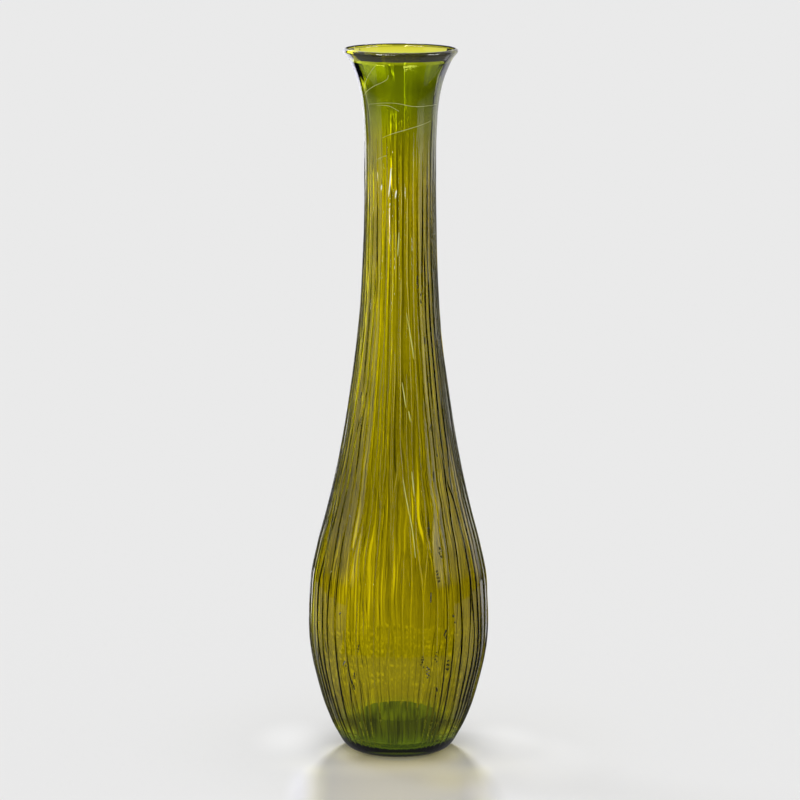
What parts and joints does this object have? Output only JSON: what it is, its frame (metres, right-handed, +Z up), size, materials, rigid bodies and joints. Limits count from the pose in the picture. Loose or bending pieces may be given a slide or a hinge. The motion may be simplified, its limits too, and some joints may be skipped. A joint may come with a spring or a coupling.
{
  "type": "glass floor vase",
  "caption": "Tall ribbed glass floor vase with a swelling belly, slim neck, flared plain mouth and pushed-up foot; holds stems and water.",
  "frame": {"origin": "on the vase's axis, at the plane that the foot ring stands on", "axes": "+Z up the axis from the foot to the mouth; the ribs look alike from every side, so +X and +Y are free"},
  "size_m": [0.1795, 0.1794, 0.7],
  "materials": {
    "olive_glass": "clear olive green bottle glass, glossy, with moulded ribs"
  },
  "bodies": {
    "root": {"ribbed_vase": "olive_glass"}
  },
  "joints": []
}
